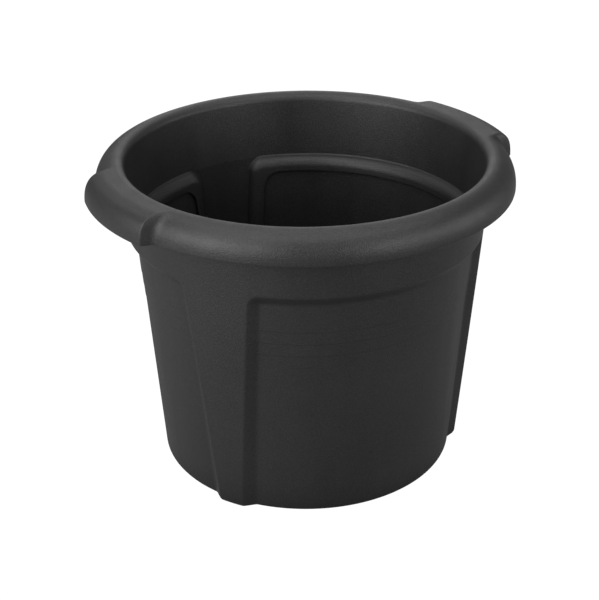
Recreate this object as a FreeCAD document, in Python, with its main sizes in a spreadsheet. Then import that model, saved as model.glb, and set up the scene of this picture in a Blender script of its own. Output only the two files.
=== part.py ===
import FreeCAD, Part
import math
import os

import Sketcher

# A round growing pot in two mouldings. The outer pot is a closed bucket. The inner pot nests in it,
# has a large window in each of its three panels, carries the rolled rim and the two grips, and
# lifts straight out. Z is up, the base rests on Z = 0, the grips are on the X axis, one panel faces
# -Y and one pillar faces +Y.

SIZES = [
    ("overall_height", 257.5, "base to the top of the rolled rim"),
    ("mouth_radius", 146.4, "where the rim's top turns down into the pot"),
    ("mouth_round", 4.8, "rounding from the rim's top into the pot"),
    ("rim_radius", 165.5, "outside of the rolled rim"),
    ("rim_round", 17.4, "outer rounding of the rolled rim and the grips"),
    ("lip_height", 235.0, "lower edge of the rolled rim"),
    ("grip_radius", 175.0, "outside of a grip"),
    ("grip_span", 34.0, "angle that a grip covers"),
    ("grip_web", 1.5, "angle taken by the two end walls of a grip"),
    ("base_radius", 126.7, "outside of a pillar at the base"),
    ("wall_taper", 0.0789, "growth of that radius per mm of height"),
    ("panel_radius", 120.9, "outside of a panel at the base"),
    ("panel_taper", 0.0743, "growth of that radius per mm of height"),
    ("panel_top", 190.5, "where a panel starts to step out to the band"),
    ("band_bottom", 198.8, "where that step meets the band, outside"),
    ("ledge_bottom", 194.0, "lower edge of the same step inside the inner pot"),
    ("ledge_top", 203.1, "upper edge of the same step inside the inner pot"),
    ("ledge_round", 9.5, "radius of the inner pot's step, which is level at the top and upright below"),
    ("outer_face", 4.5, "half angle of an outer pillar's face at the base"),
    ("outer_face_growth", 0.0346, "growth of that angle per mm of height"),
    ("outer_root", 8.6, "half angle of an outer pillar where it meets the panels, at the base"),
    ("outer_root_growth", 0.0278, "growth of that angle per mm of height"),
    ("outer_turn", 0.17, "angle by which an outer pillar narrows per mm of inset"),
    ("inner_face", 4.8, "half angle of an inner pillar's face at the base, before its inset"),
    ("inner_face_growth", 0.0346, "growth of that angle per mm of height"),
    ("inner_root", 6.15, "half angle of an inner pillar's root at the base, before its inset"),
    ("inner_root_growth", 0.0346, "growth of that angle per mm of height"),
    ("inner_turn", 0.28, "angle by which an inner pillar narrows per mm of inset"),
    ("edge_round", 2.5, "rounding along the edges of the pillars"),
    ("foot_round", 4.0, "rounding of the base's edge"),
    ("inner_bend", 2.0, "rounding inside the base, and inside the outer pot's mouth"),
    ("wall", 2.2, "thickness of both mouldings"),
    ("nesting_gap", 0.5, "gap between the two mouldings"),
    ("seat_gap", 0.3, "gap between the rim and the flange it hangs on"),
    ("flange_radius", 156.5, "outside of the outer pot's flange"),
    ("flange_round", 7.0, "outer rounding of that flange"),
    ("flange_bottom", 243.0, "lower edge of that flange"),
    ("foot_inner", 101.0, "inside of the ring that the outer pot stands on"),
    ("foot_rise", 3.0, "height of the outer pot's floor above the ground"),
    ("inner_floor", 6.5, "underside of the inner pot's floor"),
    ("window_bottom", 46.0, "lower edge of a window"),
    ("window_top", 190.0, "upper edge of a window"),
    ("window_margin", 4.3, "angle between a pillar's root and a window"),
    ("window_round", 13.0, "corner radius of a window"),
    ("drain_radius", 5.0, "radius of a drain hole"),
    ("outer_drain_circle", 88.0, "circle that the outer pot's drain holes lie on"),
    ("inner_drain_circle", 72.0, "circle that the inner pot's drain holes lie on"),
]

PANELS = 3
GRIPS = 2
DRAINS = 6
PANEL_PITCH = 360.0 / PANELS
PANEL_DIRECTION = 270.0
PILLAR_DIRECTION = PANEL_DIRECTION + PANEL_PITCH / 2
CUT_CLEARANCE = 1.0  # how far a cut runs past the solid
STEP_SHIFT = 0.35  # how far the inside of a sloping step lies above its outside, per mm of wall


class Size:
    """A number that also holds its expression on the sheet, so that features can be bound to it."""

    def __init__(self, value, text=None):
        self.value = float(value)
        self.text = text or f"({float(value)})"

    def __add__(self, other):
        other = as_size(other)
        return Size(self.value + other.value, f"({self.text} + {other.text})")

    def __sub__(self, other):
        other = as_size(other)
        return Size(self.value - other.value, f"({self.text} - {other.text})")

    def __mul__(self, other):
        other = as_size(other)
        return Size(self.value * other.value, f"({self.text} * {other.text})")


def as_size(number):
    return number if isinstance(number, Size) else Size(number)


def make_sheet(doc):
    """The driving dimensions, one row each: meaning, value."""
    sheet = doc.addObject("Spreadsheet::Sheet", "Sizes")
    for row, (alias, value, meaning) in enumerate(SIZES, start=1):
        sheet.set(f"A{row}", meaning)
        sheet.set(f"B{row}", str(value))
        sheet.setAlias(f"B{row}", alias)
    doc.recompute()
    return {alias: Size(value, f"Sizes.{alias}") for alias, value, meaning in SIZES}


doc = FreeCAD.newDocument("growing_pot")
S = make_sheet(doc)

OUTER_SKIN = Size(0.0)
OUTER_LINING = S["wall"]
INNER_SKIN = S["wall"] + S["nesting_gap"]
INNER_LINING = S["wall"] * 2 + S["nesting_gap"]
OUTER_TOP = S["overall_height"] - S["wall"] - S["seat_gap"]


# The pots' shape: radii and angles at a height, inset from the outer pot's outside.


def band_radius(height, inset):
    return S["base_radius"] + S["wall_taper"] * height - inset


def panel_radius(height, inset):
    return S["panel_radius"] + S["panel_taper"] * height - inset


def pillar_half(pot, part, height, inset):
    """Half angle of a pillar's face or root, in the outer or the inner pot."""
    growth = S[f"{pot}_{part}_growth"] * height
    return S[f"{pot}_{part}"] + growth - S[f"{pot}_turn"] * inset


def polar(radius, angle):
    """The point at a radius and an angle in degrees, on the horizontal plane."""
    turn = math.radians(angle.value)
    x = Size(radius.value * math.cos(turn), f"({radius.text} * cos({angle.text} * 1 deg))")
    y = Size(radius.value * math.sin(turn), f"({radius.text} * sin({angle.text} * 1 deg))")
    return x, y


# Sketches.


def new_body(label):
    body = doc.addObject("PartDesign::Body", label)
    body.Label = label
    body.Placement = FreeCAD.Placement()
    return body


def origin_feature(body, role):
    return next(f for f in body.Origin.OriginFeatures if f.Role == role)


def new_sketch(body, name, plane, height):
    sketch = body.newObject("Sketcher::SketchObject", name)
    sketch.AttachmentSupport = (origin_feature(body, plane), [""])
    sketch.MapMode = "FlatFace"
    if height is not None:
        sketch.AttachmentOffset = FreeCAD.Placement(
            FreeCAD.Vector(0, 0, height.value), FreeCAD.Rotation()
        )
        sketch.setExpression("AttachmentOffset.Base.z", height.text)
    return sketch


def arc_between(start, end, side, radius):
    """Arc from start to end whose centre lies on the given side of the direction of travel."""
    chord = end - start
    away = FreeCAD.Vector(-chord.y, chord.x, 0).normalize()
    if side == "right":
        away = -away
    reach = math.sqrt(max(radius**2 - (chord.Length / 2) ** 2, 0.0))
    centre = (start + end) * 0.5 + away * reach
    first, last = (start, end) if side == "left" else (end, start)
    angles = [math.atan2(p.y - centre.y, p.x - centre.x) for p in (first, last)]
    circle = Part.Circle(centre, FreeCAD.Vector(0, 0, 1), radius)
    return Part.ArcOfCircle(circle, angles[0], angles[1])


def outline(body, name, plane, corners, height=None):
    """Closed, fully constrained sketch. A corner is (x, y), or (x, y, side, radius) when the edge
    that leaves it is an arc with its centre on that side."""
    sketch = new_sketch(body, name, plane, height)
    corners = [(as_size(c[0]), as_size(c[1])) + tuple(c[2:]) for c in corners]
    points = [FreeCAD.Vector(c[0].value, c[1].value, 0) for c in corners]
    starts, ends, constraints, bindings = [], [], [], []
    for i, corner in enumerate(corners):
        start, end = points[i], points[(i + 1) % len(points)]
        if len(corner) == 2:
            edge = sketch.addGeometry(Part.LineSegment(start, end), False)
            starts.append((edge, 1))
            ends.append((edge, 2))
            continue
        side, radius = corner[2], corner[3]
        edge = sketch.addGeometry(arc_between(start, end, side, radius.value), False)
        starts.append((edge, 1 if side == "left" else 2))
        ends.append((edge, 2 if side == "left" else 1))
        bindings.append((len(constraints), radius))
        constraints.append(Sketcher.Constraint("Radius", edge, radius.value))
    for i, (x, y) in enumerate(c[:2] for c in corners):
        edge, place = starts[i]
        constraints.append(Sketcher.Constraint("Coincident", *ends[i - 1], edge, place))
        for kind, axis, value in (("DistanceX", -2, x), ("DistanceY", -1, y)):
            if value.value == 0.0:
                constraints.append(Sketcher.Constraint("PointOnObject", edge, place, axis))
                continue
            bindings.append((len(constraints), value))
            constraints.append(Sketcher.Constraint(kind, -1, 1, edge, place, value.value))
    sketch.addConstraint(constraints)
    for index, value in bindings:
        sketch.renameConstraint(index, f"size{index}")
        sketch.setExpression(f"Constraints.size{index}", value.text)
    return sketch


def sector(body, name, height, direction, near, near_half, far, far_half):
    """Piece of a ring at a height: its inner and outer arcs cover a direction plus or minus half
    angles."""
    middle = Size(direction)
    corners = [
        polar(near, middle - near_half),
        polar(far, middle - far_half) + ("left", far),
        polar(far, middle + far_half),
        polar(near, middle + near_half) + ("right", near),
    ]
    return outline(body, name, "XY_Plane", corners, height)


# Features. Each one becomes the body's tip.


def revolve(body, name, profile, kind="PartDesign::Revolution", span=None):
    """Turns a profile about Z: all the way, or over a span centred on +X."""
    feature = body.newObject(kind, name)
    feature.Profile = profile
    feature.ReferenceAxis = (profile, ["V_Axis"])
    feature.Angle = 360.0
    if span is not None:
        feature.Midplane = True
        feature.Angle = span.value
        feature.setExpression("Angle", span.text)
    profile.Visibility = False
    return feature


def groove(body, name, profile, span=None):
    return revolve(body, name, profile, "PartDesign::Groove", span)


def cut_loft(body, name, sections):
    feature = body.newObject("PartDesign::SubtractiveLoft", name)
    feature.Profile = sections[0]
    feature.Sections = sections[1:]
    feature.Ruled = True
    return feature


def repeat_round(body, name, features, count):
    """Repeats features about Z."""
    pattern = body.newObject("PartDesign::PolarPattern", name)
    pattern.Originals = features
    pattern.Axis = (origin_feature(body, "Z_Axis"), [""])
    pattern.Angle = 360.0
    pattern.Occurrences = count
    body.Tip = pattern
    return pattern


def round_edges(body, name, chosen, radius):
    """Fillets the edges of the body's tip for which chosen(edge) is true."""
    doc.recompute()
    base = body.Tip
    names = [f"Edge{i}" for i, edge in enumerate(base.Shape.Edges, start=1) if chosen(edge)]
    feature = body.newObject("PartDesign::Fillet", name)
    feature.Base = (base, names)
    feature.Radius = radius.value
    feature.setExpression("Radius", radius.text)


def distance_from_axis(edge):
    return min(math.hypot(vertex.X, vertex.Y) for vertex in edge.Vertexes)


def is_pillar_edge(edge):
    """True for an edge that climbs a pillar's side."""
    box = edge.BoundBox
    return box.ZLength > S["panel_top"].value / 2 and distance_from_axis(edge) > S["foot_inner"].value


def is_base_edge(height):
    """Makes a test for the outermost edges at a height."""

    def test(edge):
        box = edge.BoundBox
        level = abs(box.ZMax - height) < 0.01 and abs(box.ZMin - height) < 0.01
        return level and distance_from_axis(edge) > S["foot_inner"].value + S["foot_round"].value

    return test


def is_window_corner(edge):
    """True for a short edge that crosses the wall at a window's corner."""
    box = edge.BoundBox
    heights = (S["window_bottom"].value, S["window_top"].value)
    level = any(abs(box.ZMin - z) < 0.01 and abs(box.ZMax - z) < 0.01 for z in heights)
    return level and edge.Length < 2 * S["wall"].value


def press_panels(body, pot, inset, step_bottom, step_top):
    """Presses the panels into the outside, leaving the pillars between them."""
    half = Size(PANEL_PITCH / 2)
    sections = []
    for label, height in (("low", Size(-CUT_CLEARANCE)), ("high", step_bottom), ("top", step_top)):
        band = band_radius(height, inset)
        panel = panel_radius(height, inset)
        face = half - pillar_half(pot, "face", height, inset)
        root = half - pillar_half(pot, "root", height, inset)
        near, near_half = (band, face) if label == "top" else (panel, root)
        far, far_half = band + (band - panel), face + (face - root)
        name = f"panel_{label}"
        sections.append(sector(body, name, height, PANEL_DIRECTION, near, near_half, far, far_half))
    panel = cut_loft(body, "panel", sections)
    repeat_round(body, "panels", [panel], PANELS)


def press_channels(body, pot, inset, floor):
    """Hollows the pillars from inside, up to the band."""
    sections = []
    for label, height in (("low", floor), ("top", S["ledge_top"] + CUT_CLEARANCE)):
        band = band_radius(height, inset)
        panel = panel_radius(height, inset)
        face = pillar_half(pot, "face", height, inset)
        root = pillar_half(pot, "root", height, inset)
        near, near_half = panel - (band - panel), root + (root - face)
        name = f"channel_{label}"
        sections.append(sector(body, name, height, PILLAR_DIRECTION, near, near_half, band, face))
    channel = cut_loft(body, "channel", sections)
    repeat_round(body, "channels", [channel], PANELS)


def drill_drains(body, circle):
    """Drain holes through the floor."""
    sketch = new_sketch(body, "drain_circle", "XY_Plane", None)
    hole = Part.Circle(FreeCAD.Vector(circle.value, 0, 0), FreeCAD.Vector(0, 0, 1), S["drain_radius"].value)
    sketch.addGeometry(hole, False)
    sketch.addConstraint(
        [
            Sketcher.Constraint("PointOnObject", 0, 3, -1),
            Sketcher.Constraint("DistanceX", -1, 1, 0, 3, circle.value),
            Sketcher.Constraint("Radius", 0, S["drain_radius"].value),
        ]
    )
    for index, value in ((1, circle), (2, S["drain_radius"])):
        sketch.renameConstraint(index, f"size{index}")
        sketch.setExpression(f"Constraints.size{index}", value.text)
    drain = body.newObject("PartDesign::Pocket", "drain")
    drain.Profile = sketch
    drain.Type = "ThroughAll"
    drain.Reversed = True
    repeat_round(body, "drains", [drain], DRAINS)


# The outer pot.


def outer_silhouette(body):
    """Outline of the outer pot as if it were solid and had no panels."""
    rise = S["foot_rise"]
    flange = S["flange_radius"]
    flange_arc = S["flange_round"]
    low = S["flange_bottom"]
    corners = [
        (0, rise),
        (S["foot_inner"] - rise, rise),
        (S["foot_inner"], 0),
        (S["base_radius"], 0),
        (band_radius(low, OUTER_SKIN), low),
        (flange, low),
        (flange, OUTER_TOP - flange_arc, "left", flange_arc),
        (flange - flange_arc, OUTER_TOP),
        (0, OUTER_TOP),
    ]
    return outline(body, "silhouette", "XZ_Plane", corners)


def flange_hollow(body):
    """Outline of the hollow under the outer pot's flange."""
    low = S["flange_bottom"] - CUT_CLEARANCE
    under = OUTER_TOP - S["wall"]
    arc = S["flange_round"] - S["wall"]
    side = S["flange_radius"] - S["wall"]
    corners = [
        (band_radius(low, OUTER_SKIN), low),
        (side, low),
        (side, under - arc, "left", arc),
        (side - arc, under),
        (band_radius(under, OUTER_SKIN), under),
    ]
    return outline(body, "flange_hollow_outline", "XZ_Plane", corners)


def outer_cavity(body):
    """Outline of the outer pot's inside, without the pillars."""
    rise = S["foot_rise"]
    floor = S["wall"]
    bend = S["inner_bend"]
    low = S["panel_top"] + S["wall"] * STEP_SHIFT
    high = S["band_bottom"] + S["wall"] * STEP_SHIFT
    neck = OUTER_TOP - bend
    mouth = band_radius(neck, OUTER_LINING) + bend
    corners = [
        (0, rise + floor),
        (S["foot_inner"] - rise + floor * STEP_SHIFT, rise + floor),
        (S["foot_inner"] + floor * STEP_SHIFT, floor),
        (panel_radius(floor, OUTER_LINING) - bend, floor, "left", bend),
        (panel_radius(floor, OUTER_LINING), floor + bend),
        (panel_radius(low, OUTER_LINING), low),
        (band_radius(high, OUTER_LINING), high),
        (band_radius(neck, OUTER_LINING), neck, "right", bend),
        (mouth, OUTER_TOP),
        (mouth, OUTER_TOP + CUT_CLEARANCE),
        (0, OUTER_TOP + CUT_CLEARANCE),
    ]
    return outline(body, "cavity_outline", "XZ_Plane", corners)


def make_outer_pot():
    """Closed bucket with three panels, a turned-down flange and a ring foot."""
    body = new_body("outer_pot")
    revolve(body, "solid_pot", outer_silhouette(body))
    press_panels(body, "outer", OUTER_SKIN, S["panel_top"], S["band_bottom"])
    round_edges(body, "pillar_rounding", is_pillar_edge, S["edge_round"])
    round_edges(body, "base_rounding", is_base_edge(0.0), S["foot_round"])
    groove(body, "flange_hollow", flange_hollow(body))
    groove(body, "cavity", outer_cavity(body))
    press_channels(body, "outer", OUTER_LINING, S["wall"])
    drill_drains(body, S["outer_drain_circle"])
    return body


# The inner pot.


def inner_silhouette(body):
    """Outline of the inner pot as if it were solid and had no panels or grips."""
    floor = S["inner_floor"]
    lip = S["lip_height"]
    rim = S["rim_radius"]
    arc = S["rim_round"]
    top = S["overall_height"]
    corners = [
        (0, floor),
        (band_radius(floor, INNER_SKIN), floor),
        (band_radius(lip, INNER_SKIN), lip),
        (rim, lip),
        (rim, top - arc, "left", arc),
        (rim - arc, top),
        (0, top),
    ]
    return outline(body, "silhouette", "XZ_Plane", corners)


def rim_hollow(body):
    """Outline of the hollow under the rolled rim."""
    low = S["lip_height"] - CUT_CLEARANCE
    under = S["overall_height"] - S["wall"]
    side = S["rim_radius"] - S["wall"]
    arc = S["rim_round"] - S["wall"]
    bend = S["mouth_round"] - S["wall"]
    neck = S["overall_height"] - S["mouth_round"]
    corners = [
        (band_radius(low, INNER_SKIN), low),
        (side, low),
        (side, under - arc, "left", arc),
        (side - arc, under),
        (S["mouth_radius"], under, "left", bend),
        (band_radius(neck, INNER_SKIN), neck),
    ]
    return outline(body, "rim_hollow_outline", "XZ_Plane", corners)


def grip_outline(body, name, low, inset):
    """Outline of a grip, or with an inset of the hollow under it."""
    top = S["overall_height"] - inset
    side = S["grip_radius"] - inset
    arc = S["rim_round"] - inset
    start = S["rim_radius"] - S["rim_round"]
    corners = [
        (start, low),
        (side, low),
        (side, top - arc, "left", arc),
        (side - arc, top),
        (start, top),
    ]
    return outline(body, name, "XZ_Plane", corners)


def inner_cavity(body):
    """Outline of the inner pot's inside, without the pillars."""
    floor = S["inner_floor"] + S["wall"]
    bend = S["inner_bend"]
    low = S["ledge_bottom"]
    high = S["ledge_top"]
    top = S["overall_height"]
    neck = top - S["mouth_round"]
    corners = [
        (0, floor),
        (panel_radius(floor, INNER_LINING) - bend, floor, "left", bend),
        (panel_radius(floor, INNER_LINING), floor + bend),
        (panel_radius(low, INNER_LINING), low, "right", S["ledge_round"]),
        (band_radius(high, INNER_LINING), high),
        (band_radius(neck, INNER_LINING), neck, "right", S["mouth_round"]),
        (S["mouth_radius"], top),
        (S["mouth_radius"], top + CUT_CLEARANCE),
        (0, top + CUT_CLEARANCE),
    ]
    return outline(body, "cavity_outline", "XZ_Plane", corners)


def add_grips(body):
    """Widens the rim into two grips."""
    profile = grip_outline(body, "grip_outline", S["lip_height"], Size(0.0))
    solid = revolve(body, "grip", profile, span=S["grip_span"])
    repeat_round(body, "grips", [solid], GRIPS)


def hollow_grips(body):
    """Opens the grips from below, leaving a wall at each end."""
    low = S["lip_height"] - CUT_CLEARANCE
    profile = grip_outline(body, "grip_hollow_outline", low, S["wall"])
    hollow = groove(body, "grip_hollow", profile, span=S["grip_span"] - S["grip_web"])
    repeat_round(body, "grip_hollows", [hollow], GRIPS)


def cut_windows(body):
    """Cuts a window with rounded corners through each panel."""
    sections = []
    for label, height in (("low", S["window_bottom"]), ("top", S["window_top"])):
        near = panel_radius(height, INNER_LINING) - CUT_CLEARANCE
        far = panel_radius(height, INNER_SKIN) + CUT_CLEARANCE
        root = pillar_half("inner", "root", height, INNER_LINING)
        half = Size(PANEL_PITCH / 2) - root - S["window_margin"]
        sections.append(
            sector(body, f"window_{label}", height, PANEL_DIRECTION, near, half, far, half)
        )
    window = cut_loft(body, "window", sections)
    repeat_round(body, "windows", [window], PANELS)
    round_edges(body, "window_rounding", is_window_corner, S["window_round"])


def make_inner_pot():
    """Pot with windows, hung by its rolled rim, with a grip on each side."""
    body = new_body("inner_pot")
    revolve(body, "solid_pot", inner_silhouette(body))
    shift = S["wall"] * STEP_SHIFT
    press_panels(body, "inner", INNER_SKIN, S["ledge_bottom"] - shift, S["ledge_top"] - shift)
    round_edges(body, "pillar_rounding", is_pillar_edge, S["edge_round"])
    round_edges(body, "base_rounding", is_base_edge(S["inner_floor"].value), S["edge_round"])
    add_grips(body)
    groove(body, "rim_hollow", rim_hollow(body))
    hollow_grips(body)
    groove(body, "cavity", inner_cavity(body))
    press_channels(body, "inner", INNER_LINING, S["inner_floor"] + S["wall"])
    cut_windows(body)
    drill_drains(body, S["inner_drain_circle"])
    return body


# Checks and export.


def check(bodies):
    """Stops if a feature failed or a body isn't one valid closed solid."""
    doc.recompute()
    failed = [o.Name for o in doc.Objects if "Invalid" in o.State or "Error" in o.State]
    if failed:
        raise RuntimeError(f"features failed: {failed}")
    for body in bodies:
        shape = body.Shape
        if shape.isNull() or not shape.isValid() or len(shape.Solids) != 1:
            raise RuntimeError(f"{body.Label} isn't one valid solid")


def export(bodies):
    os.makedirs("parts", exist_ok=True)
    for body in bodies:
        body.Shape.exportStep(f"parts/{body.Label}.step")
        print(body.Label, round(body.Shape.Volume), body.Shape.BoundBox)


pots = [make_outer_pot(), make_inner_pot()]
check(pots)
export(pots)
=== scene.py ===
import math

import bmesh
import bpy
import numpy as np
from mathutils import Matrix, Vector
from mathutils.geometry import delaunay_2d_cdt


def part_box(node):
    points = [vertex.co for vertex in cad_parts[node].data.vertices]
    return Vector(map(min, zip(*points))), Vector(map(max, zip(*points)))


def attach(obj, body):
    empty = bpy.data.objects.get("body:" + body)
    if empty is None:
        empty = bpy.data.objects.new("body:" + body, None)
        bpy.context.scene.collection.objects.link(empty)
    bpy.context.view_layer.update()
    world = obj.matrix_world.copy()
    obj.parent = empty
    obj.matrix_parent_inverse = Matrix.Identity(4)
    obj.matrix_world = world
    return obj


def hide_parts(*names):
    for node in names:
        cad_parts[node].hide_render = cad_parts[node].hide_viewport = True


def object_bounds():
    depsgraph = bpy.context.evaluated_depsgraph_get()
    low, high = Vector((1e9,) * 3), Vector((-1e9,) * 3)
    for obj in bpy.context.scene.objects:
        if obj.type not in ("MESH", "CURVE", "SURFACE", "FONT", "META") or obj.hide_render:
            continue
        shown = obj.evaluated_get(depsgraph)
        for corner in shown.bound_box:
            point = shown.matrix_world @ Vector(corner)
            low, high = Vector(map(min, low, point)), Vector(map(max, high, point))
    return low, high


# A two-part growing bucket in satin black plastic, in a white studio. Both mouldings are built from
# formulas in cylindrical coordinates: azimuth in degrees (0 faces -Y, 90 faces +X), radius and
# height in millimetres. Points become metres when a mesh is made.

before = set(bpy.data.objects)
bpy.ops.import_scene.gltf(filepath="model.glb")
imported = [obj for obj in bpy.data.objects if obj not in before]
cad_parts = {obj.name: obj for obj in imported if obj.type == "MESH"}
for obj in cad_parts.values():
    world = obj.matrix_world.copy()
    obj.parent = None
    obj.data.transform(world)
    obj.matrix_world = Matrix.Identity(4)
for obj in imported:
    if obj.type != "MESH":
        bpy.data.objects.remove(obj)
cad_low, cad_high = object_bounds()
MM = 0.001
inner_low, inner_high = (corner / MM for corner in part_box("inner_pot"))
outer_low, outer_high = (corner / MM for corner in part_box("outer_pot"))

# Overall sizes, from the frame.
HEIGHT = inner_high.z
RIM_RADIUS = inner_high.y
GRIP_RADIUS = inner_high.x
FLANGE_RADIUS = outer_high.x
FLANGE_TOP = outer_high.z
INNER_FLOOR = inner_low.z

# Walls.
WALL = 2.2
NESTING_GAP = 0.5
BASE_RADIUS = 126.7
WALL_TAPER = 0.0789
PANEL_DEPTH = 5.8
PANEL_DEPTH_GROWTH = 0.0046
PITCH = 120.0
HALF_PITCH = PITCH / 2
STRAIGHT_ABOVE = 204.0
FACE_BLEND = 0.13
ROOT_BLEND = 0.2
LEDGE_BEND = 1.044
LEDGE_START = 0.04
RIB_HEIGHTS = (167.0, 156.5, 146.0)
RIB_DEPTH = 0.3
RIB_SLOPE = 0.5
RIB_BLEND = 0.4

# Rim and grips.
ROLL_CREST = 148.5
ROLL_BELOW = 20.6
ROLL_POWER = 2.1
GRIP_CREST = 157.5
GRIP_BELOW = 22.2
GRIP_POWER = 2.5
LIP_BOTTOM = 234.7
MOUTH_ROUND = 6.5
GRIP_HALF_WIDTH = 49.5
GRIP_FILLET = 9.0
GRIP_EDGE = 1.4

# Windows.
WINDOW_BOTTOM = 46.0
WINDOW_TOP = 190.0
WINDOW_MARGIN = 4.3
WINDOW_ROUND = 13.0
WINDOW_EDGE = 0.8
WINDOW_RADIUS = 138.0
WINDOW_MM_PER_DEGREE = WINDOW_RADIUS * math.pi / 180

# The outer pot's flange, and the bends at the foot of each wall.
FLANGE_BEND = 7.0
FLANGE_DROP = 11.4
FLANGE_NECK = 5.0
FLANGE_MOUTH_BEND = 2.0
FOOT_BEND = 5.0
LINING_BEND = 2.5
INNER_SKIN_BEND = 3.0

# Floors and drain holes. The outer pot's floor is raised inside its foot, by a step with small
# bevels, given as (across, up), and the foot's upper face is wider than its lower one.
DRAINS = 6
FIRST_DRAIN = 30.0
DRAIN_RADIUS = 5.0
DRAIN_EDGE = 0.6
HOLE_POINTS = 28
HOLE_COLLAR = 1.5
OUTER_DRAIN_CIRCLE = 88.0
INNER_DRAIN_CIRCLE = 72.0
FOOT_INNER = 101.0
FOOT_RISE = 3.0
FOOT_STEP = 4.0
FOOT_STEP_BEND = (0.7, 0.15)
FOOT_LINING_SHIFT = 1.0
INNER_FLOOR_RING = 100.0

# Heights where mesh rows get closer, for the ribs and the steps, and counts of rows.
RIB_ROWS_FROM = 142.0
RIB_ROWS = (-0.75, 0.25, 3.0)
STEP_ROWS_FROM = 184.0
STEP_ROWS_TO = {"outer_skin": 203.0, "outer_lining": 204.0, "inner": 207.0}
STEP_ROW_COUNT = 24
RIM_ROWS_UNDER = 24
RIM_ROWS_OVER = 56


# Shape formulas.

NOT_ZERO = 1e-9


def soft_start(x, blend):
    """0 below 0 and x above it, rounded within blend of 0."""
    rounded = np.clip(x + blend, 0, 2 * blend) ** 2 / (4 * blend)
    return np.where(x > blend, x, rounded)


def ramp(x, blend_low, blend_high):
    """0 below 0, 1 above 1, straight between, with both corners rounded."""
    return soft_start(x, blend_low) - soft_start(x - 1, blend_high)


class Pillars:
    """Half angles of a pot's pillars, which grow with height and shrink with the inset."""

    def __init__(self, face, face_growth, root, root_growth, turn):
        self.numbers = face, face_growth, root, root_growth, turn

    def face(self, height, inset=0.0):
        face, growth, _, _, turn = self.numbers
        return face + growth * height - turn * inset

    def root(self, height, inset=0.0):
        _, _, root, growth, turn = self.numbers
        return root + growth * height - turn * inset


def sloping_step(share):
    """Depth across a step that slopes evenly, from 0 at the band to 1 at the panel."""
    return ramp(share, FACE_BLEND, ROOT_BLEND)


def rounded_ledge(share):
    """Depth across a step that starts level and turns down to the upright in one bend."""
    left = 1 - np.minimum(soft_start(share, LEDGE_START), 1)
    start = math.sqrt(LEDGE_BEND ** 2 - 1)
    return np.maximum(np.sqrt(LEDGE_BEND ** 2 - left ** 2) - start, 0) / (LEDGE_BEND - start)


class Skin:
    """One face of a moulding: how far it lies inside the bucket's outside, and how its panels step
    out to the band and the pillars."""

    def __init__(self, pillars, inset, step_bottom, step_top, corner, profile, ribs=()):
        self.pillars = pillars
        self.inset = inset
        self.step_bottom = step_bottom
        self.step_top = step_top
        self.corner = corner
        self.profile = profile
        self.ribs = ribs


OUTER_PILLARS = Pillars(face=4.5, face_growth=0.0346, root=8.6, root_growth=0.0278, turn=0.17)
INNER_PILLARS = Pillars(face=4.8, face_growth=0.0346, root=6.15, root_growth=0.0346, turn=0.28)
OUTER_SKIN = Skin(OUTER_PILLARS, 0.0, 190.5, 198.8, 9.0, sloping_step, RIB_HEIGHTS)
OUTER_LINING = Skin(OUTER_PILLARS, WALL, 191.3, 199.6, 9.0, sloping_step)
INNER_SKIN = Skin(INNER_PILLARS, WALL + NESTING_GAP, 193.2, 202.3, 12.0, sloping_step)
INNER_LINING = Skin(INNER_PILLARS, 2 * WALL + NESTING_GAP, 194.0, 203.1, 12.0, rounded_ledge)


def window_side(height):
    return INNER_PILLARS.root(height, INNER_LINING.inset) + WINDOW_MARGIN


def band_radius(height, skin):
    return BASE_RADIUS + WALL_TAPER * height - skin.inset


def wall_radius(azimuth, height, skin):
    """Radius of a skin, with its three pressed-in panels."""
    side = np.abs(azimuth % PITCH - HALF_PITCH)
    face = skin.pillars.face(height, skin.inset)
    root = skin.pillars.root(height, skin.inset)
    mm_per_degree = np.radians(band_radius(height, skin))
    across = skin.corner - (side - face) * mm_per_degree
    down = skin.corner - (skin.step_top - height)
    beside, above = np.maximum(across, 0), np.maximum(down, 0)
    inside = skin.corner - np.hypot(beside, above) - np.minimum(np.maximum(across, down), 0)
    share = above ** 2 / (beside ** 2 + above ** 2 + NOT_ZERO)
    width = skin.step_top - skin.step_bottom
    if skin.profile is sloping_step:
        width = (root - face) * mm_per_degree * (1 - share) + width * share
    pressed = skin.profile(inside / width)
    depth = PANEL_DEPTH + PANEL_DEPTH_GROWTH * height
    for rib in skin.ribs:
        rise = ramp((rib - height) / RIB_SLOPE, RIB_BLEND, RIB_BLEND)
        depth = depth + RIB_DEPTH * (rise - 0.5)
    return band_radius(height, skin) - depth * pressed


def roll_curve(side, crest, below, power, inset, count):
    """Section of the rolled rim from its lip to its crest, moved in by inset: radius and height."""
    turn = np.linspace(0, math.pi / 2, 4 * count)
    radius = crest + (side - crest) * np.cos(turn) ** (2 / power)
    height = HEIGHT - below + below * np.sin(turn) ** (2 / power)
    start = LIP_BOTTOM + WALL / 2
    lip = np.interp(start, height, radius)
    radius = np.concatenate([[lip], radius[height > start]])
    height = np.concatenate([[start], height[height > start]])
    if crest > ROLL_CREST:
        flat = np.linspace(crest, ROLL_CREST, count)[1:]
        radius = np.append(radius, flat)
        height = np.append(height, np.full(len(flat), HEIGHT))
    along_r, along_h = np.gradient(radius), np.gradient(height)
    length = np.hypot(along_r, along_h)
    radius = radius - inset * along_h / length
    height = height + inset * along_r / length
    steps = np.hypot(np.diff(radius), np.diff(height))
    way = np.concatenate([[0], np.cumsum(steps)]) / steps.sum()
    even = np.linspace(0, 1, count)
    return np.interp(even, way, radius), np.interp(even, way, height)


def from_grip(azimuth):
    """Angle between an azimuth and the middle of the nearer grip."""
    return np.abs(np.abs((azimuth + 180) % 360 - 180) - 90)


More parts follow.
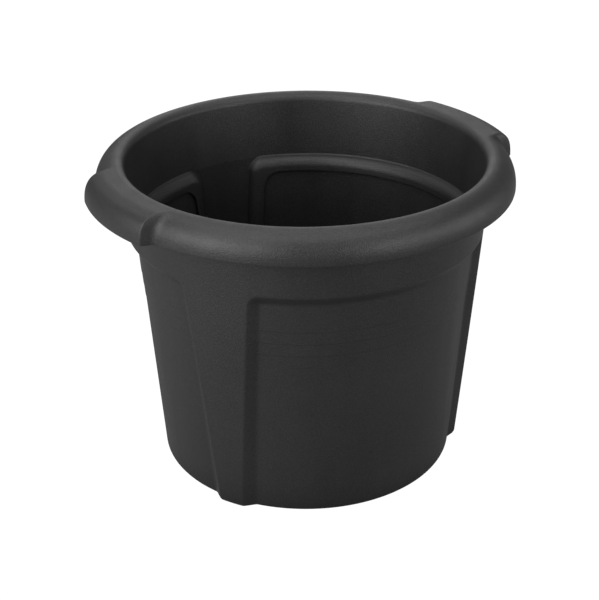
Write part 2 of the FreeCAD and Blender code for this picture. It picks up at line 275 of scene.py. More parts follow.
def grip_share(azimuth, radius, half_width):
    """1 on a grip and 0 off it. The grip's ends are parallel, and meet the rim in a hollow fillet.

    The share is a mean over the width of the end's edge, which rounds the edge.
    """
    beyond = radius * np.sin(np.radians(from_grip(azimuth))) - half_width
    shifts = np.linspace(-GRIP_EDGE, GRIP_EDGE, 9)
    total = 0.0
    for shift in shifts:
        left = 1 - np.clip((beyond + shift) / GRIP_FILLET, 0, 1)
        total = total + 1 - np.sqrt(1 - left ** 2)
    return total / len(shifts)


# Layouts: azimuths of a pot's upright mesh lines, leaning with the pillars' edges below the band.

CLOSEST_LINES = 0.06


class Layout:
    """Upright lines. knots gives angles from a pillar's middle at a height, steps the lines between
    two knots, and extra more lines that stay upright."""

    def __init__(self, knots, steps, extra=()):
        self.knots = knots
        top = knots(STRAIGHT_ABOVE)
        half = [np.linspace(a, b, n + 1)[1:] for a, b, n in zip(top, top[1:], steps)]
        half = np.concatenate([[0.0]] + half)
        around = []
        for pillar in (HALF_PITCH, HALF_PITCH + PITCH, HALF_PITCH + 2 * PITCH):
            around += [pillar + half[:-1], pillar - half[1:]]
        around = np.concatenate(around) % 360
        for azimuth in extra:
            if np.abs(around - azimuth).min() > CLOSEST_LINES:
                around = np.append(around, azimuth)
        self.top = np.sort(around)

    def at(self, height):
        side = self.top % PITCH - HALF_PITCH
        knots = self.knots(min(height, STRAIGHT_ABOVE))
        moved = np.interp(np.abs(side), self.knots(STRAIGHT_ABOVE), knots)
        return self.top + np.sign(side) * moved - side


def outer_knots(height):
    face = OUTER_PILLARS.face(height)
    root = OUTER_PILLARS.root(height)
    zone = 0.3 * (root - face)
    beside = root + 6
    return np.array([0, face - zone, face + zone, root - zone, root + zone, beside, HALF_PITCH])


def inner_knots(height):
    face = INNER_PILLARS.face(height, INNER_LINING.inset) - 0.4
    root = INNER_PILLARS.root(height, INNER_SKIN.inset) + 0.3
    side = window_side(height) - WINDOW_EDGE / WINDOW_MM_PER_DEGREE
    corner = window_side(height) + WINDOW_ROUND / WINDOW_MM_PER_DEGREE
    return np.array([0, face, root, side, corner, HALF_PITCH])


# Places of the window's side and of its corner's end in inner_knots.
SIDE_KNOT, CORNER_KNOT = 3, 4

# Extra lines by the grips' ends, at angles outward from the end: close on its edge, wider beyond.
GRIP_END = math.degrees(math.asin(GRIP_HALF_WIDTH / GRIP_RADIUS))
GRIP_STEPS = np.concatenate([np.arange(-0.9, 0.6, 0.13), np.arange(0.7, 3.9, 0.3)])
GRIP_LINES = [
    middle + hand * (GRIP_END + step)
    for middle in (90, 270) for hand in (1, -1) for step in GRIP_STEPS
]
OUTER_LAYOUT = Layout(outer_knots, (6, 7, 3, 7, 4, 20))
INNER_LAYOUT = Layout(inner_knots, (6, 12, 9, 7, 20), GRIP_LINES)


def lean_to_grip(azimuth, radius):
    """Moves upright lines near a grip's ends so that they follow its edge at a radius."""
    angle = from_grip(azimuth)
    shift = math.degrees(math.asin(GRIP_HALF_WIDTH / radius)) - GRIP_END
    still_before, moved_from = GRIP_END - 8, GRIP_END - 1
    moved_to, still_after = GRIP_END + 4, GRIP_END + 11
    before = [0, still_before, moved_from, moved_to, still_after, 90]
    after = [0, still_before, moved_from + shift, moved_to + shift, still_after, 90]
    middle = np.where(azimuth < 180, 90, 270)
    return azimuth + np.sign(azimuth - middle) * (np.interp(angle, before, after) - angle)


def levels(*spans):
    """Heights from spans (start, end, steps), each joined to the next."""
    parts = [np.array([spans[0][0]])]
    parts += [np.linspace(start, end, steps + 1)[1:] for start, end, steps in spans]
    return np.concatenate(parts)


# Meshes.

WELD_DISTANCE = 0.004 * MM
SLIVER_LENGTH = 0.002 * MM
SHADING_WEIGHT = 60


class Moulding:
    """Collects sheets of faces in cylindrical coordinates and welds them into one closed mesh."""

    def __init__(self, name):
        self.name = name
        self.points = []
        self.faces = []
        self.count = 0

    def add_points(self, azimuth, radius, height):
        azimuth, radius, height = np.broadcast_arrays(azimuth, radius, height)
        points = np.concatenate([self.flat(azimuth, radius), height[..., None]], axis=-1)
        first = self.count
        self.points.append(points.reshape(-1, 3) * MM)
        self.count += azimuth.size
        return first + np.arange(azimuth.size).reshape(azimuth.shape)

    def sheet(self, azimuth, radius, height, keep=None, closed=True):
        """Quads between neighbouring rows and columns. closed joins the last column to the first."""
        index = self.add_points(azimuth, radius, height)
        if closed:
            index = np.concatenate([index, index[:, :1]], axis=1)
        corners = [index[:-1, :-1], index[:-1, 1:], index[1:, 1:], index[1:, :-1]]
        quads = np.stack(corners, axis=-1)
        quads = quads[keep] if keep is not None else quads.reshape(-1, 4)
        self.faces += quads.tolist()

    def plate(self, ring_azimuth, ring_radius, height, holes):
        """Flat floor out to a ring, with round holes (azimuth, circle radius, hole radius)."""
        outlines = [self.flat(ring_azimuth, ring_radius)]
        for azimuth, circle, radius in holes:
            outlines.append(hole_outline(azimuth, circle, radius))
            outlines.append(hole_outline(azimuth, circle, radius + HOLE_COLLAR))
        points, edges = [], []
        for outline in outlines:
            first = len(points)
            size = len(outline)
            points += [Vector(p) for p in outline]
            edges += [(first + i, first + (i + 1) % size) for i in range(size)]
        tolerance = 1e-6
        triangles_inside = 1
        flat, _, triangles, *_ = delaunay_2d_cdt(points, edges, [], triangles_inside, tolerance)
        first = self.count
        self.points.append(np.array([(p.x, p.y, height) for p in flat]) * MM)
        self.count += len(flat)
        middles = [Vector(self.flat(azimuth, circle)) for azimuth, circle, _ in holes]
        inside_hole = holes[0][2] * 0.99
        for triangle in triangles:
            centre = sum((flat[i] for i in triangle), Vector((0, 0))) / 3
            if all((centre - middle).length > inside_hole for middle in middles):
                self.faces.append([first + i for i in triangle])

    @staticmethod
    def flat(azimuth, radius):
        """x and y of a place given by azimuth and radius."""
        turn = np.radians(azimuth)
        return np.stack([radius * np.sin(turn), -radius * np.cos(turn)], axis=-1)

    def tube(self, azimuth, circle, radii, heights):
        """Wall of a drain hole, as rings of the given radii and heights."""
        rings = [hole_outline(azimuth, circle, radius) for radius in radii]
        index = []
        for ring, height in zip(rings, heights):
            first = self.count
            points = [(x, y, height) for x, y in ring]
            self.points.append(np.array(points) * MM)
            self.count += len(ring)
            index.append(first + np.arange(len(ring)))
        for low, high in zip(index, index[1:]):
            after_low, after_high = np.roll(low, -1), np.roll(high, -1)
            self.faces += np.stack([low, after_low, after_high, high], axis=-1).tolist()

    def finish(self, body, material):
        """Makes the piece that stands for a CAD node and rides on the body of the same name."""
        mesh = bpy.data.meshes.new(self.name)
        mesh.from_pydata(np.concatenate(self.points).tolist(), [], self.faces)
        work = bmesh.new()
        work.from_mesh(mesh)
        bmesh.ops.remove_doubles(work, verts=work.verts, dist=WELD_DISTANCE)
        bmesh.ops.dissolve_degenerate(work, edges=work.edges, dist=SLIVER_LENGTH)
        bmesh.ops.recalc_face_normals(work, faces=work.faces)
        for face in work.faces:
            face.smooth = True
        work.to_mesh(mesh)
        work.free()
        mesh.materials.append(material)
        piece = bpy.data.objects.new(self.name, mesh)
        bpy.context.scene.collection.objects.link(piece)
        shading = piece.modifiers.new("even_shading", "WEIGHTED_NORMAL")
        shading.weight = SHADING_WEIGHT
        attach(piece, body)
        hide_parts(body)


def hole_outline(azimuth, circle, radius):
    """Points round a drain hole, as x and y."""
    middle = Moulding.flat(azimuth, circle)
    turn = np.linspace(0, 2 * math.pi, HOLE_POINTS, endpoint=False)
    return middle + radius * np.stack([np.cos(turn), np.sin(turn)], axis=-1)


def arc(start, end, steps):
    """Angles in radians from start to end degrees."""
    return np.radians(np.linspace(start, end, steps + 1))


def add_wall(pot, layout, skin, heights, cut=None):
    """Wall from a skin's formula, one row per height. cut(heights) marks the faces to leave out."""
    azimuth = np.stack([layout.at(height) for height in heights])
    rows = heights[:, None]
    radius = wall_radius(azimuth, rows, skin)
    keep = None if cut is None else ~cut(heights)
    pot.sheet(azimuth, radius, rows, keep)


def add_base_edge(pot, layout, skin, bottom, bend, ring):
    """Rounded lower edge of a skin, then flat in to a ring. The wall's rows start where it ends."""
    flat_rows = 6
    turn = arc(0, 90, 7)
    heights = bottom + bend * (1 - np.cos(turn))
    azimuth = np.stack([layout.at(height) for height in heights])
    radius = wall_radius(azimuth, heights[:, None], skin) - bend * (1 - np.sin(turn))[:, None]
    share = np.linspace(0, 1, flat_rows)[:, None]
    flat_azimuth = np.stack([layout.at(bottom)] * flat_rows)
    flat_radius = ring + (radius[0] - ring) * share
    pot.sheet(flat_azimuth, flat_radius, np.full((flat_rows, 1), bottom))
    pot.sheet(azimuth, radius, heights[:, None])


def add_turned(pot, section, azimuth):
    """Sheet turned from a section of (radius, height) points, on the given upright lines."""
    radius = np.array([p[0] for p in section])[:, None]
    height = np.array([p[1] for p in section])[:, None]
    pot.sheet(np.broadcast_to(azimuth, (len(section), len(azimuth))), radius, height)


def add_floor(pot, low, high, ring, low_height, high_height, circle):
    """Both faces of a floor and the drain holes between them."""
    azimuths = [FIRST_DRAIN + i * 360.0 / DRAINS for i in range(DRAINS)]
    places = [(azimuth, circle, DRAIN_RADIUS + DRAIN_EDGE) for azimuth in azimuths]
    pot.plate(low, ring, low_height, places)
    pot.plate(high, ring, high_height, places)
    turn = arc(0, 90, 3)
    bend = DRAIN_EDGE * (1 - np.sin(turn))
    drop = DRAIN_EDGE * (1 - np.cos(turn))
    radii = np.concatenate([DRAIN_RADIUS + bend, (DRAIN_RADIUS + bend)[::-1]])
    heights = np.concatenate([low_height + drop, (high_height - drop)[::-1]])
    for azimuth in azimuths:
        pot.tube(azimuth, circle, radii, heights)


def bend_points(centre_radius, centre_height, radius, start, end, steps):
    """Points on an arc in a section. Angles run from outward (0) through up (90)."""
    return [
        (centre_radius + radius * math.cos(a), centre_height + radius * math.sin(a))
        for a in arc(start, end, steps)
    ]


# The outer pot.


def build_outer_pot(material):
    pot = Moulding("outer_pot_moulding")
    ring = FOOT_INNER - FOOT_STEP
    across, up = FOOT_STEP_BEND
    low = OUTER_LAYOUT.at(0.0)
    high = OUTER_LAYOUT.at(WALL)
    step = [(ring, FOOT_RISE), (ring + across, FOOT_RISE - up)]
    step += [(FOOT_INNER - across, up), (FOOT_INNER, 0.0)]
    add_turned(pot, step, low)
    add_base_edge(pot, OUTER_LAYOUT, OUTER_SKIN, 0.0, FOOT_BEND, FOOT_INNER)
    neck = FLANGE_TOP - FLANGE_NECK
    add_wall(pot, OUTER_LAYOUT, OUTER_SKIN, levels(*outer_skin_spans(neck)))
    mouth_height = FLANGE_TOP - FLANGE_MOUTH_BEND
    add_turned(pot, flange_section(neck, mouth_height), OUTER_LAYOUT.top)
    step_top = STEP_ROWS_TO["outer_lining"]
    spans = [
        (WALL + LINING_BEND, STEP_ROWS_FROM, 28),
        (STEP_ROWS_FROM, step_top, STEP_ROW_COUNT),
        (step_top, mouth_height, 7),
    ]
    add_wall(pot, OUTER_LAYOUT, OUTER_LINING, levels(*spans))
    foot = FOOT_INNER + FOOT_LINING_SHIFT
    add_base_edge(pot, OUTER_LAYOUT, OUTER_LINING, WALL, LINING_BEND, foot)
    floor_top = WALL + FOOT_RISE
    step = [(foot, WALL), (foot - across, WALL + up)]
    step += [(ring + FOOT_LINING_SHIFT + across, floor_top - up), (ring, floor_top)]
    add_turned(pot, step, high)
    add_floor(pot, low, high, ring, FOOT_RISE, floor_top, OUTER_DRAIN_CIRCLE)
    pot.finish("outer_pot", material)


def outer_skin_spans(neck):
    """Rows of the outside wall, close together across each rib and the step."""
    spans = [(FOOT_BEND, RIB_ROWS_FROM, 22)]
    for rib in reversed(RIB_HEIGHTS):
        below, above, clear = (rib + shift for shift in RIB_ROWS)
        spans.append((spans[-1][1], below, 1))
        spans.append((below, above, 8))
        spans.append((above, clear, 1))
    step_top = STEP_ROWS_TO["outer_skin"]
    spans.append((spans[-1][1], STEP_ROWS_FROM, 3))
    spans.append((STEP_ROWS_FROM, step_top, STEP_ROW_COUNT))
    spans.append((step_top, neck, 7))
    return spans


def flange_section(neck, mouth_height):
    """Section of the flange, from the neck below it, out round its lip and back to the mouth."""
    under = FLANGE_TOP - WALL
    corner = (FLANGE_RADIUS - FLANGE_BEND, FLANGE_TOP - FLANGE_BEND)
    side = float(band_radius(neck, OUTER_SKIN))
    mouth = float(band_radius(mouth_height, OUTER_LINING))
    lip = (FLANGE_RADIUS - WALL / 2, FLANGE_TOP - FLANGE_DROP)
    section = bend_points(side + under - neck, neck, under - neck, 180, 90, 6)
    section += bend_points(*corner, FLANGE_BEND - WALL, 90, 0, 8)
    section += bend_points(*lip, WALL / 2, 180, 360, 8)
    section += bend_points(*corner, FLANGE_BEND, 0, 90, 10)
    section += bend_points(mouth + FLANGE_MOUTH_BEND, mouth_height, FLANGE_MOUTH_BEND, 90, 180, 6)
    return section


# The inner pot.

# Rows beside the windows. A window's corner has two steps for each row beside it.
CORNER_STEPS = 14
WINDOW_ROWS = [
    (WINDOW_BOTTOM - WINDOW_EDGE, WINDOW_BOTTOM + WINDOW_ROUND, CORNER_STEPS // 2),
    (WINDOW_BOTTOM + WINDOW_ROUND, WINDOW_TOP - WINDOW_ROUND, 10),
    (WINDOW_TOP - WINDOW_ROUND, WINDOW_TOP + WINDOW_EDGE, CORNER_STEPS // 2),
]

# Keeps lines on an edge on the right side of it, in mm and degrees.
SLACK = 0.01


def window_cells(heights):
    """Marks the faces of a wall that lie in a window."""
    side = np.abs(INNER_LAYOUT.top % PITCH - HALF_PITCH)
    edge = inner_knots(STRAIGHT_ABOVE)[SIDE_KNOT] - SLACK
    after = np.roll(side, -1)
    across = (side > edge) & (after > edge)
    low = heights[:-1] > WINDOW_BOTTOM - WINDOW_EDGE - SLACK
    high = heights[1:] < WINDOW_TOP + WINDOW_EDGE + SLACK
    return (low & high)[:, None] & across[None, :]


def build_inner_pot(material):
    pot = Moulding("inner_pot_moulding")
    ring = INNER_FLOOR_RING
    floor_top = INNER_FLOOR + WALL
    window_low, window_high = WINDOW_ROWS[0][0], WINDOW_ROWS[2][1]
    step_top = STEP_ROWS_TO["inner"]
    above = [(window_high, step_top, STEP_ROW_COUNT), (step_top, HEIGHT - MOUTH_ROUND, 8)]
    upper = WINDOW_ROWS + above
    add_base_edge(pot, INNER_LAYOUT, INNER_SKIN, INNER_FLOOR, INNER_SKIN_BEND, ring)
    spans = [(INNER_FLOOR + INNER_SKIN_BEND, window_low, 7)] + upper
    add_wall(pot, INNER_LAYOUT, INNER_SKIN, levels(*spans), window_cells)
    add_rim(pot)
    spans = [(floor_top + LINING_BEND, window_low, 7)] + upper
    add_wall(pot, INNER_LAYOUT, INNER_LINING, levels(*spans), window_cells)
    add_base_edge(pot, INNER_LAYOUT, INNER_LINING, floor_top, LINING_BEND, ring)
    low, high = INNER_LAYOUT.at(INNER_FLOOR), INNER_LAYOUT.at(floor_top)
    add_floor(pot, low, high, ring, INNER_FLOOR, floor_top, INNER_DRAIN_CIRCLE)
    for middle in (0.0, PITCH, 2 * PITCH):
        add_window(pot, middle)
    pot.finish("inner_pot", material)


def add_rim(pot):
    """Neck, hollow underside, lip, roll with its grips, and the rounding into the mouth."""
    neck = HEIGHT - MOUTH_ROUND
    shapes = []
    for inset, count in ((WALL, RIM_ROWS_UNDER), (0.0, RIM_ROWS_OVER)):
        rim = roll_curve(RIM_RADIUS, ROLL_CREST, ROLL_BELOW, ROLL_POWER, inset, count)
        grip = roll_curve(GRIP_RADIUS, GRIP_CREST, GRIP_BELOW, GRIP_POWER, inset, count)
        rim_radius, rim_height = (line[:, None] for line in rim)
        grip_radius, grip_height = (line[:, None] for line in grip)
        around = np.stack([lean_to_grip(INNER_LAYOUT.top, radius) for radius in grip[0]])
        share = grip_share(around, grip_radius, GRIP_HALF_WIDTH - inset)
        radius = rim_radius + (grip_radius - rim_radius) * share
        shapes.append((around, radius, rim_height + (grip_height - rim_height) * share))
    under, over = shapes
    pot.sheet(*under)
    pot.sheet(*over)
    turn = arc(0, 180, 6)[:, None]
    centre = [(a[0] + b[0]) / 2 for a, b in zip(under, over)]
    reach = [(b[0] - a[0]) / 2 for a, b in zip(under, over)]
    azimuth, radius, height = (c - r * np.cos(turn) for c, r in zip(centre, reach))
    pot.sheet(azimuth, radius, height - WALL / 2 * np.sin(turn))
    turn = arc(0, 90, 7)[:, None]
    for shape, skin in ((under, INNER_SKIN), (over, INNER_LINING)):
        crest_azimuth, crest_radius, crest_height = (values[-1] for values in shape)
        start = float(band_radius(neck, skin))
        azimuth = crest_azimuth + (INNER_LAYOUT.top - crest_azimuth) * np.sin(turn)
        radius = crest_radius - (crest_radius - start) * np.sin(turn)
        height = neck + (crest_height - neck) * np.cos(turn)
        pot.sheet(azimuth, radius, height)


def across_window(height, distance):
    """Angle from a pillar's middle to a place some millimetres into the window from its side."""
    return window_side(height) + distance / WINDOW_MM_PER_DEGREE


def level_columns(middle):
    """Which upright lines cross the level edges of the window round an azimuth, in order."""
    turn = (INNER_LAYOUT.top - middle + 180) % 360 - 180
    corner = inner_knots(STRAIGHT_ABOVE)[CORNER_KNOT]
    chosen = np.flatnonzero(np.abs(turn) < HALF_PITCH - corner - SLACK)
    return chosen[np.argsort(turn[chosen])]


def window_loop(middle, outside):
    """Azimuth and height of points round a window, a distance outside its edge."""
    low, high = WINDOW_BOTTOM + WINDOW_ROUND, WINDOW_TOP - WINDOW_ROUND
    rows = levels(WINDOW_ROWS[1])[1:-1]
    turn = arc(0, 90, CORNER_STEPS)
    reach = WINDOW_ROUND + outside
    corner_across = WINDOW_ROUND - reach * np.cos(turn)
    corner_rise = reach * np.sin(turn)
    columns = level_columns(middle)
    left, right = middle - HALF_PITCH, middle + HALF_PITCH
    azimuth, height = [], []

    def add(side, across, level):
        pillar, hand = (left, 1) if side < 0 else (right, -1)
        azimuth.append(pillar + hand * across_window(level, across))
        height.append(level)

    def add_level(level, order):
        turned = (INNER_LAYOUT.at(level)[columns] - middle + 180) % 360 - 180
        azimuth.append(middle + turned[::order])
        height.append(np.full(len(columns), level))

    add(-1, np.full(len(rows), -outside), rows)
    add(-1, corner_across, high + corner_rise)
    add_level(WINDOW_TOP + outside, 1)
    add(1, corner_across[::-1], high + corner_rise[::-1])
    add(1, np.full(len(rows), -outside), rows[::-1])
    add(1, corner_across, low - corner_rise)
    add_level(WINDOW_BOTTOM - outside, -1)
    add(-1, corner_across[::-1], low - corner_rise[::-1])
    return np.concatenate(azimuth), np.concatenate(height)


def add_window(pot, middle):
    """Corners of one window in both skins, and the rounded edge between them."""
    steps = CORNER_STEPS // 2
    share = np.linspace(0, 1, 4)[:, None]
    turn = arc(0, 90, CORNER_STEPS)
    reach = WINDOW_ROUND + WINDOW_EDGE
    square_across = np.linspace(-WINDOW_EDGE, WINDOW_ROUND, steps + 1)
    square_across = np.concatenate([np.full(steps, -WINDOW_EDGE), square_across])
    square_rise = np.concatenate([np.linspace(0, reach, steps + 1), np.full(steps, reach)])
    arc_across = WINDOW_ROUND - reach * np.cos(turn)
    arc_rise = reach * np.sin(turn)
    across = square_across + (arc_across - square_across) * share
    rise = square_rise + (arc_rise - square_rise) * share
    for skin in (INNER_SKIN, INNER_LINING):
        for level, up in ((WINDOW_TOP - WINDOW_ROUND, 1), (WINDOW_BOTTOM + WINDOW_ROUND, -1)):
            height = level + up * rise
            for pillar, hand in ((middle - HALF_PITCH, 1), (middle + HALF_PITCH, -1)):
                azimuth = pillar + hand * across_window(height, across)
                pot.sheet(azimuth, wall_radius(azimuth, height, skin), height, closed=False)
    turn = arc(0, 90, 4)
    outside = WINDOW_EDGE * (1 - np.sin(turn))
    depth = WINDOW_EDGE * (1 - np.cos(turn))
    rings = []
    for skin, sign in ((INNER_SKIN, -1), (INNER_LINING, 1)):
        part = []
        for out, deep in zip(outside, depth):
            azimuth, height = window_loop(middle, out)
            part.append((azimuth, wall_radius(azimuth, height, skin) + sign * deep, height))
        rings += part if sign < 0 else part[::-1]
    azimuth, radius, height = (np.stack(values) for values in zip(*rings))
    pot.sheet(azimuth, radius, height)


# Materials.

BLACK = (0.0100, 0.0100, 0.0104, 1.0)
CLOUDED_BLACK = (0.0125, 0.0125, 0.0128, 1.0)
SPECKLED_BLACK = (0.0175, 0.0175, 0.0178, 1.0)
# Paler sharp edges: partly rubbed wear, partly a painted highlight along ridges such as the grips'
# ends.
RUBBED_AND_HIGHLIT_BLACK = (0.050, 0.050, 0.050, 1.0)
WHITE = (1, 1, 1, 1)

# Painted shade: shine deep in a recess, where there is least light to mirror, and in the open.
RECESS_REACH = 0.028
RECESS_SHINE = 0.2
OPEN_SHINE = 0.5
# Painted shade on the inner pot's hollow pillars, below the ledge.
PILLAR_SHADE_SHINE = 0.75

# Sockets of a Mix node by number, since their names repeat for each data type.
FLOAT_A, FLOAT_B, FLOAT_RESULT = 2, 3, 0
COLOUR_A, COLOUR_B, COLOUR_RESULT = 6, 7, 2


class Nodes:
    """Short calls for building a node tree."""

    def __init__(self, tree):
        self.tree = tree
        tree.nodes.clear()

    def add(self, kind, inputs=None, **settings):
        node = self.tree.nodes.new(kind)
        for name, value in settings.items():
            setattr(node, name, value)
        for name, value in (inputs or {}).items():
            self.set(node.inputs[name], value)
        return node

    def set(self, socket, value):
        if isinstance(value, bpy.types.NodeSocket):
            self.tree.links.new(value, socket)
        else:
            socket.default_value = value

    def noise(self, place, scale, detail, roughness):
        node = self.add("ShaderNodeTexNoise", {
            "Vector": place, "Scale": scale, "Detail": detail, "Roughness": roughness})
        return node.outputs["Fac"]

    def fit(self, value, low, high, new_low, new_high):
        """Value moved from one range to another and kept inside it."""
        node = self.add("ShaderNodeMapRange", {
            "Value": value, "From Min": low, "From Max": high, "To Min": new_low, "To Max": new_high})
        return node.outputs["Result"]

    def math(self, operation, first, second=0.0):
        node = self.add("ShaderNodeMath", operation=operation)
        self.set(node.inputs[0], first)
        self.set(node.inputs[1], second)
        return node.outputs["Value"]

    def for_camera(self, seen, otherwise):
        """One value for rays from the camera and another for light."""
        node = self.add("ShaderNodeMix", data_type="FLOAT")
        self.set(node.inputs["Factor"], self.add("ShaderNodeLightPath").outputs["Is Camera Ray"])
        self.set(node.inputs[FLOAT_A], otherwise)
        self.set(node.inputs[FLOAT_B], seen)
        return node.outputs[FLOAT_RESULT]

    def mix(self, share, first, second):
        node = self.add("ShaderNodeMix", data_type="RGBA")
        self.set(node.inputs["Factor"], share)
        self.set(node.inputs[COLOUR_A], first)
        self.set(node.inputs[COLOUR_B], second)
        return node.outputs[COLOUR_RESULT]


def painted_pillar_shade(nodes):
    """Painted shade: a factor on the inner pot's shine, a little less in its hollow pillars, below
    the ledge.
    """
    place = nodes.add("ShaderNodeTexCoord").outputs["Object"]
    parts = nodes.add("ShaderNodeSeparateXYZ", {"Vector": place}).outputs
    upright = nodes.add("ShaderNodeCombineXYZ", {"Z": parts["Z"]}).outputs["Vector"]
    flat = nodes.add("ShaderNodeVectorMath", {0: place, 1: upright}, operation="SUBTRACT")
    radius = nodes.add("ShaderNodeVectorMath", {0: flat.outputs["Vector"]}, operation="LENGTH")
    taper = nodes.math("MULTIPLY", parts["Z"], WALL_TAPER)
    inset = nodes.math("SUBTRACT", taper, radius.outputs["Value"])
    inset = nodes.math("ADD", inset, BASE_RADIUS * MM)
    shallow = (INNER_SKIN.inset + 1.0) * MM
    deep = shallow + 3.0 * MM
    step_top = INNER_LINING.step_top
    below = nodes.fit(parts["Z"], (step_top - 0.3) * MM, step_top * MM, 1.0, 0.0)
    in_pillar = nodes.math("GREATER_THAN", inset, shallow)
    in_pillar = nodes.math("MULTIPLY", in_pillar, nodes.math("LESS_THAN", inset, deep))
    return nodes.fit(nodes.math("MULTIPLY", below, in_pillar), 0.0, 1.0, 1.0, PILLAR_SHADE_SHINE)


def moulded_plastic(name, offset, roughness, painted_shade=None):
    """Near-black satin plastic: fine moulded grain, faint clouds and streaks, paler sharp edges that
    are part rubbed wear and part painted highlight, and painted shade that lowers the shine in
    recesses.
    """
    material = bpy.data.materials.new(name)
    material.use_nodes = True
    nodes = Nodes(material.node_tree)
    place = nodes.add("ShaderNodeMapping", {
        "Vector": nodes.add("ShaderNodeTexCoord").outputs["Object"], "Location": offset})
    place = place.outputs["Vector"]
    clouds = nodes.noise(place, scale=14.0, detail=4.0, roughness=0.6)
    grain = nodes.noise(place, scale=1100.0, detail=2.0, roughness=0.6)
    specks = nodes.noise(place, scale=420.0, detail=2.0, roughness=0.7)
    upright = nodes.add("ShaderNodeMapping", {"Vector": place, "Scale": (60.0, 60.0, 6.0)})
    streaks = nodes.noise(upright.outputs["Vector"], scale=1.0, detail=5.0, roughness=0.65)
    # Sharp edges turn paler, partly as rubbed wear and partly as a painted highlight.
    edges = nodes.add("ShaderNodeNewGeometry").outputs["Pointiness"]
    worn_and_highlit = nodes.fit(edges, 0.515, 0.56, 0.0, 1.0)
    worn_and_highlit = nodes.math("MULTIPLY", worn_and_highlit, nodes.fit(specks, 0.35, 0.65, 0.2, 1.0))
    colour = nodes.mix(nodes.fit(clouds, 0.3, 0.7, 0.0, 1.0), BLACK, CLOUDED_BLACK)
    colour = nodes.mix(nodes.fit(grain, 0.55, 0.75, 0.0, 0.5), colour, SPECKLED_BLACK)
    colour = nodes.mix(nodes.math("MULTIPLY", worn_and_highlit, 0.5), colour, RUBBED_AND_HIGHLIT_BLACK)
    rough = nodes.fit(clouds, 0.3, 0.7, roughness - 0.03, roughness + 0.03)
    rough = nodes.math("ADD", rough, nodes.fit(streaks, 0.4, 0.7, -0.02, 0.05))
    rough = nodes.math("ADD", rough, nodes.fit(grain, 0.3, 0.7, -0.03, 0.03))
    # Painted shade: the shine drops where ambient occlusion finds a recess, such as under the lip and
    # in corners.
    recess = nodes.add("ShaderNodeAmbientOcclusion", {"Distance": RECESS_REACH}, samples=6)
    shine = nodes.fit(recess.outputs["AO"], 0.35, 0.95, RECESS_SHINE, OPEN_SHINE)
    # An optional painted shade, as a factor on the shine.
    if painted_shade is not None:
        shine = nodes.math("MULTIPLY", shine, painted_shade(nodes))
    shine = nodes.math("MULTIPLY", shine, nodes.fit(grain, 0.35, 0.65, 0.8, 1.2))
    fine = nodes.add("ShaderNodeBump", {"Height": grain, "Strength": 0.8, "Distance": 0.0003})
    broad = nodes.add("ShaderNodeBump", {
        "Height": specks, "Strength": 0.1, "Distance": 0.0006, "Normal": fine.outputs["Normal"]})
    shader = nodes.add("ShaderNodeBsdfPrincipled", {
        "Base Color": colour, "Roughness": rough, "Normal": broad.outputs["Normal"],
        "IOR": 1.49, "Specular IOR Level": shine})
    nodes.add("ShaderNodeOutputMaterial", {"Surface": shader.outputs["BSDF"]})
    return material


# Camera and studio, in metres and degrees.

CAMERA_AZIMUTH = -31.4
CAMERA_ELEVATION = 26.79
CAMERA_DISTANCE = 1.1795
CAMERA_ROLL = -0.4
CAMERA_LENS = 85.46
CAMERA_SHIFT = (-0.0111, 0.0056)
TARGET = Vector((0.0, 0.0, 0.12384))
WHITE_LEVEL = 1.05
SURROUNDINGS_LEVEL = 0.206
LAMP_SIZE = 1.15
LAMP_DISTANCE = 2.0
FLOOR_SIZE = 6.0
FLOOR_GAP = 0.0002

# The floor's glow near the bucket, further out and far away, with a factor that dims it where the
# bucket stands, a painted shadow.
FLOOR_SHADOW_AT_BASE = 0.75
FLOOR_NEAR = 0.3
FLOOR_NEAR_LEFT = 0.44
FLOOR_MIDDLE = 0.38
FLOOR_MIDDLE_LEFT = 0.8
FLOOR_FAR = 0.21

# Where one level turns into the next: to the left as a cosine, the others as distances.
LEFT_SPAN = (0.4, 0.95)
BASE_SPAN = (0.14, 0.3)
MIDDLE_SPAN = (0.35, 0.6)
FAR_SPAN = (1.0, 1.3)

# Lamps: name, azimuth, elevation, watts.
LAMPS = [
    ("left_low_lamp", -68.0, 15.0, 15.0),
    ("far_left_low_lamp", -95.0, 15.0, 14.0),
    ("left_high_lamp", -76.0, 40.0, 6.4),
    ("front_low_lamp", 14.0, 17.0, 14.0),
    ("camera_low_lamp", -31.0, 15.0, 1.2),
    ("right_low_lamp", 59.0, 12.0, 8.0),
    ("left_back_lamp", -121.0, 15.0, 2.0),
    ("back_low_lamp", 149.0, 15.0, 2.7),
    ("back_middle_lamp", 149.0, 40.0, 1.6),
    ("back_high_lamp", 194.0, 40.0, 2.3),
    ("top_lamp_1", -31.0, 65.0, 4.0),
    ("top_lamp_2", 29.0, 65.0, 7.0),
    ("top_lamp_3", 89.0, 65.0, 3.0),
    ("top_lamp_4", 149.0, 65.0, 4.0),
    ("top_lamp_5", 209.0, 65.0, 4.0),
    ("top_lamp_6", 269.0, 65.0, 7.8),
]


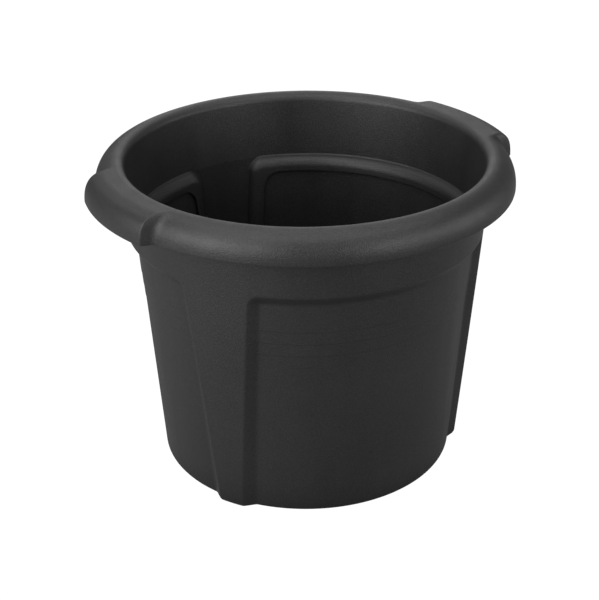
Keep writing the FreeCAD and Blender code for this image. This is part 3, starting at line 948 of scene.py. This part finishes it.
def build_studio():
    """White floor and surroundings. What lights the bucket is dimmer than what the camera sees."""
    mesh = bpy.data.meshes.new("studio_floor")
    work = bmesh.new()
    bmesh.ops.create_grid(work, x_segments=8, y_segments=8, size=FLOOR_SIZE)
    work.to_mesh(mesh)
    work.free()
    floor = bpy.data.objects.new("studio_floor", mesh)
    bpy.context.scene.collection.objects.link(floor)
    floor.location.z = cad_low.z - FLOOR_GAP
    mesh.materials.append(floor_glow())

    world = bpy.data.worlds.new("studio")
    bpy.context.scene.world = world
    world.use_nodes = True
    nodes = Nodes(world.node_tree)
    strength = nodes.for_camera(WHITE_LEVEL, SURROUNDINGS_LEVEL)
    shine = nodes.add("ShaderNodeBackground", {"Color": WHITE, "Strength": strength})
    nodes.add("ShaderNodeOutputWorld", {"Surface": shine.outputs["Background"]})

    for name, azimuth, elevation, power in LAMPS:
        lamp = bpy.data.lights.new(name, "AREA")
        lamp.shape = "DISK"
        lamp.size = LAMP_SIZE
        lamp.energy = power
        holder = bpy.data.objects.new(name, lamp)
        bpy.context.scene.collection.objects.link(holder)
        holder.location = TARGET + LAMP_DISTANCE * direction(azimuth, elevation)
        aim = (TARGET - holder.location).to_track_quat("-Z", "Y")
        holder.rotation_euler = aim.to_euler()
        holder.visible_camera = False


def floor_glow():
    """Floor that looks white, and lights the bucket most from the left."""
    material = bpy.data.materials.new("studio_white")
    material.use_nodes = True
    nodes = Nodes(material.node_tree)
    place = nodes.add("ShaderNodeNewGeometry").outputs["Position"]
    parts = nodes.add("ShaderNodeSeparateXYZ", {"Vector": place}).outputs
    length = nodes.add("ShaderNodeVectorMath", {0: place}, operation="LENGTH")
    distance = length.outputs["Value"]
    to_left = nodes.math("DIVIDE", nodes.math("MULTIPLY", parts["X"], -1.0), distance)
    near = nodes.fit(to_left, *LEFT_SPAN, FLOOR_NEAR, FLOOR_NEAR_LEFT)
    # Painted shadow: the glow dims close to the bucket's foot.
    near = nodes.math("MULTIPLY", near, nodes.fit(distance, *BASE_SPAN, FLOOR_SHADOW_AT_BASE, 1.0))
    middle = nodes.fit(to_left, *LEFT_SPAN, FLOOR_MIDDLE, FLOOR_MIDDLE_LEFT)
    glow = near
    for span, level in ((MIDDLE_SPAN, middle), (FAR_SPAN, FLOOR_FAR)):
        share = nodes.fit(distance, *span, 0.0, 1.0)
        more = nodes.math("MULTIPLY", share, nodes.math("SUBTRACT", level, glow))
        glow = nodes.math("ADD", glow, more)
    strength = nodes.for_camera(WHITE_LEVEL, glow)
    shine = nodes.add("ShaderNodeEmission", {"Color": WHITE, "Strength": strength})
    nodes.add("ShaderNodeOutputMaterial", {"Surface": shine.outputs["Emission"]})
    return material


def direction(azimuth, elevation):
    """Unit vector from the bucket towards an azimuth and elevation."""
    turn, rise = math.radians(azimuth), math.radians(elevation)
    level = math.cos(rise)
    return Vector((level * math.sin(turn), -level * math.cos(turn), math.sin(rise)))


def build_camera():
    camera = bpy.data.cameras.new("camera")
    camera.lens = CAMERA_LENS
    camera.shift_x, camera.shift_y = CAMERA_SHIFT
    holder = bpy.data.objects.new("camera", camera)
    bpy.context.scene.collection.objects.link(holder)
    place = TARGET + CAMERA_DISTANCE * direction(CAMERA_AZIMUTH, CAMERA_ELEVATION)
    aim = (TARGET - place).to_track_quat("-Z", "Y").to_matrix().to_4x4()
    roll = Matrix.Rotation(math.radians(CAMERA_ROLL), 4, "Z")
    holder.matrix_world = Matrix.Translation(place) @ aim @ roll
    bpy.context.scene.camera = holder


build_outer_pot(moulded_plastic("outer_pot_plastic", (0.0, 0.0, 0.0), 0.45))
build_inner_pot(
    moulded_plastic("inner_pot_plastic", (3.1, 1.7, 0.4), 0.43, painted_pillar_shade))
build_studio()
build_camera()
bpy.context.scene.view_settings.view_transform = "Standard"
bpy.context.scene.view_settings.look = "None"
